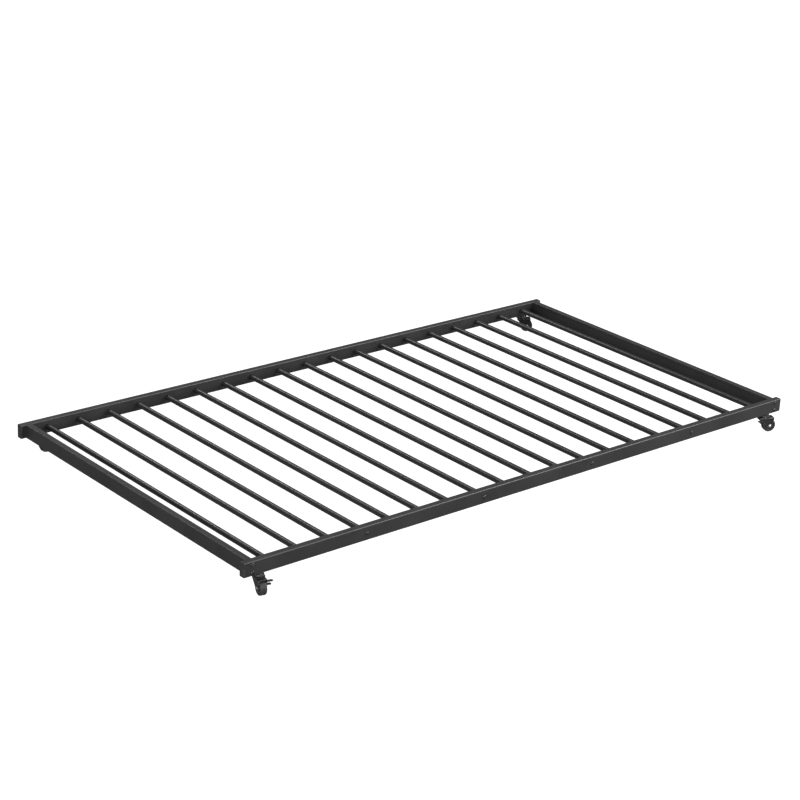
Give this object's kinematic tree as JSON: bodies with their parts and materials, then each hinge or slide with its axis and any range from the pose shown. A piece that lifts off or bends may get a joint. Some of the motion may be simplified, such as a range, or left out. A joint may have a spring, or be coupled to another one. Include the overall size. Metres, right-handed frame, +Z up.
{
  "type": "trundle bed",
  "caption": "Low steel-tube twin trundle bed frame with round cross slats, rectangular rails and four swivel casters, the two front ones braked.",
  "frame": {"origin": "centre of the footprint at floor level, under the bottoms of the wheels", "axes": "+X along the long rails towards the right end, +Y from the front rail to the back rail, +Z up"},
  "size_m": [1.98, 1.1024, 0.096],
  "materials": {
    "powder_coat": "satin black powder coat",
    "black_screw": "black oxide",
    "zinc": "bright zinc plate",
    "fork_steel": "black e-coat",
    "black_plastic": "moulded black plastic"
  },
  "bodies": {
    "frame": {"front_rail": "powder_coat", "back_rail": "powder_coat", "left_end_rail": "powder_coat", "right_end_rail": "powder_coat", "front_left_end_plug": "black_plastic", "front_right_end_plug": "black_plastic", "back_left_end_plug": "black_plastic", "back_right_end_plug": "black_plastic", "slat_01": "powder_coat", "slat_02": "powder_coat", "slat_03": "powder_coat", "slat_04": "powder_coat", "slat_05": "powder_coat", "slat_06": "powder_coat", "slat_07": "powder_coat", "slat_08": "powder_coat", "slat_09": "powder_coat", "slat_10": "powder_coat", "slat_11": "powder_coat", "slat_12": "powder_coat", "slat_13": "powder_coat", "slat_14": "powder_coat", "slat_15": "powder_coat", "slat_16": "powder_coat", "slat_17": "powder_coat", "slat_18": "powder_coat", "slat_19": "powder_coat", "front_left_lower_corner_bolt": "black_screw", "front_left_upper_corner_bolt": "black_screw", "front_right_lower_corner_bolt": "black_screw", "front_right_upper_corner_bolt": "black_screw", "front_slat_04_bolt": "black_screw", "front_slat_08_bolt": "black_screw", "front_slat_12_bolt": "black_screw", "front_slat_16_bolt": "black_screw", "back_left_lower_corner_bolt": "black_screw", "back_left_upper_corner_bolt": "black_screw", "back_right_lower_corner_bolt": "black_screw", "back_right_upper_corner_bolt": "black_screw", "back_slat_04_bolt": "black_screw", "back_slat_08_bolt": "black_screw", "back_slat_12_bolt": "black_screw", "back_slat_16_bolt": "black_screw", "front_left_caster_stem": "zinc", "front_right_caster_stem": "zinc", "back_left_caster_stem": "zinc", "back_right_caster_stem": "zinc"},
    "front_left_fork": {"front_left_caster_fork": "fork_steel"},
    "front_left_wheel": {"front_left_caster_wheel": "black_plastic"},
    "front_left_brake": {"front_left_caster_brake_lever": "fork_steel"},
    "front_right_fork": {"front_right_caster_fork": "fork_steel"},
    "front_right_wheel": {"front_right_caster_wheel": "black_plastic"},
    "front_right_brake": {"front_right_caster_brake_lever": "fork_steel"},
    "back_left_fork": {"back_left_caster_fork": "fork_steel"},
    "back_left_wheel": {"back_left_caster_wheel": "black_plastic"},
    "back_right_fork": {"back_right_caster_fork": "fork_steel"},
    "back_right_wheel": {"back_right_caster_wheel": "black_plastic"}
  },
  "joints": [
    {"name": "front_left_swivel", "type": "hinge", "parent": "frame", "child": "front_left_fork", "pos_m": [-0.937, -0.51665, 0.046], "axis": [0, 0, 1], "continuous": true},
    {"name": "front_left_roll", "type": "hinge", "parent": "front_left_fork", "child": "front_left_wheel", "pos_m": [-0.94015, -0.53029, 0.02], "axis": [0.9744, -0.225, 0], "continuous": true},
    {"name": "front_left_brake_press", "type": "hinge", "parent": "front_left_fork", "child": "front_left_brake", "pos_m": [-0.94015, -0.53029, 0.02], "axis": [-0.9744, 0.225, 0], "range_deg": [0, 20]},
    {"name": "front_right_swivel", "type": "hinge", "parent": "frame", "child": "front_right_fork", "pos_m": [0.937, -0.51665, 0.046], "axis": [0, 0, 1], "continuous": true},
    {"name": "front_right_roll", "type": "hinge", "parent": "front_right_fork", "child": "front_right_wheel", "pos_m": [0.94998, -0.52189, 0.02], "axis": [0.3746, 0.9272, 0], "continuous": true},
    {"name": "front_right_brake_press", "type": "hinge", "parent": "front_right_fork", "child": "front_right_brake", "pos_m": [0.94998, -0.52189, 0.02], "axis": [-0.3746, -0.9272, 0], "range_deg": [0, 20]},
    {"name": "back_left_swivel", "type": "hinge", "parent": "frame", "child": "back_left_fork", "pos_m": [-0.922, 0.53035, 0.046], "axis": [0, 0, 1], "continuous": true},
    {"name": "back_left_roll", "type": "hinge", "parent": "back_left_fork", "child": "back_left_wheel", "pos_m": [-0.90884, 0.52556, 0.02], "axis": [0.342, 0.9397, 0], "continuous": true},
    {"name": "back_right_swivel", "type": "hinge", "parent": "frame", "child": "back_right_fork", "pos_m": [0.922, 0.53035, 0.046], "axis": [0, 0, 1], "continuous": true},
    {"name": "back_right_roll", "type": "hinge", "parent": "back_right_fork", "child": "back_right_wheel", "pos_m": [0.93347, 0.52232, 0.02], "axis": [0.5736, 0.8192, 0], "continuous": true}
  ]
}
